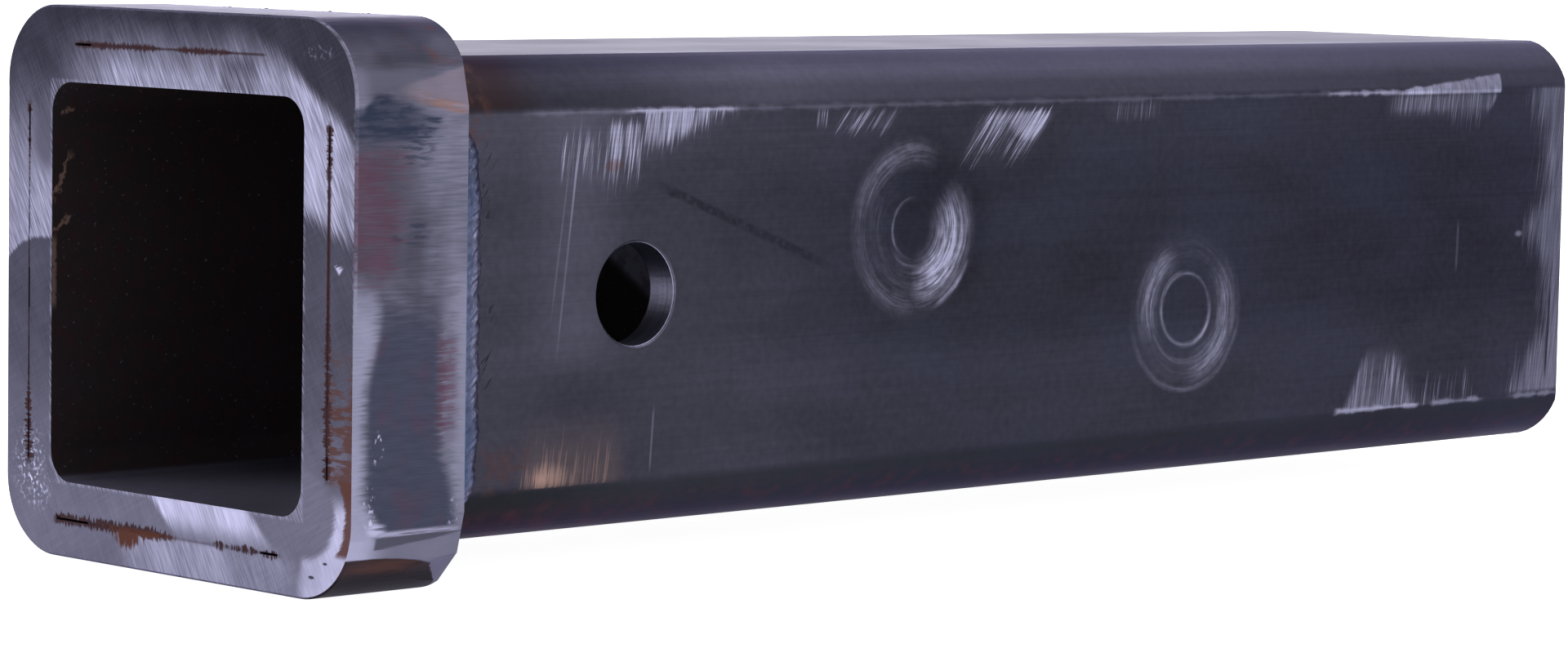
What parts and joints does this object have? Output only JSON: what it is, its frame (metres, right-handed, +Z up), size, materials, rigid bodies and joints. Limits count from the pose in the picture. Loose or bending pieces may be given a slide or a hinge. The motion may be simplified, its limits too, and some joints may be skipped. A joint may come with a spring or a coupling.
{
  "type": "weld-on receiver tube",
  "caption": "Square steel tube with a reinforcing collar welded round its mouth and a hitch pin hole through its side walls. It is welded under a vehicle and takes a square shank.",
  "frame": {"origin": "centre of the tube's mouth, on the flush front face of the tube and collar", "axes": "+Y runs along the tube from the mouth to the rear end, +X runs along the pin hole to the right as seen looking into the mouth, and +Z is up"},
  "size_m": [0.0892, 0.3048, 0.0892],
  "materials": {
    "mill_scale_steel": "hot-rolled steel with dark blue-grey mill scale, scuffed by tools and lightly rusted near the welds",
    "ground_steel": "bare steel dressed by a hand grinder, with heat tint and rust in the low spots",
    "weld_bead": "as-welded bead with blue heat tint",
    "ground_weld": "weld metal ground flush with the front face"
  },
  "bodies": {
    "root": {"receiver_tube": "mill_scale_steel", "mouth_collar": "ground_steel", "rear_weld_right": "weld_bead", "rear_weld_bottom": "weld_bead", "rear_weld_left": "weld_bead", "rear_weld_top": "weld_bead", "mouth_weld_top_right": "ground_weld", "mouth_weld_bottom_right": "ground_weld", "mouth_weld_bottom_left": "ground_weld", "mouth_weld_top_left": "ground_weld"}
  },
  "joints": []
}
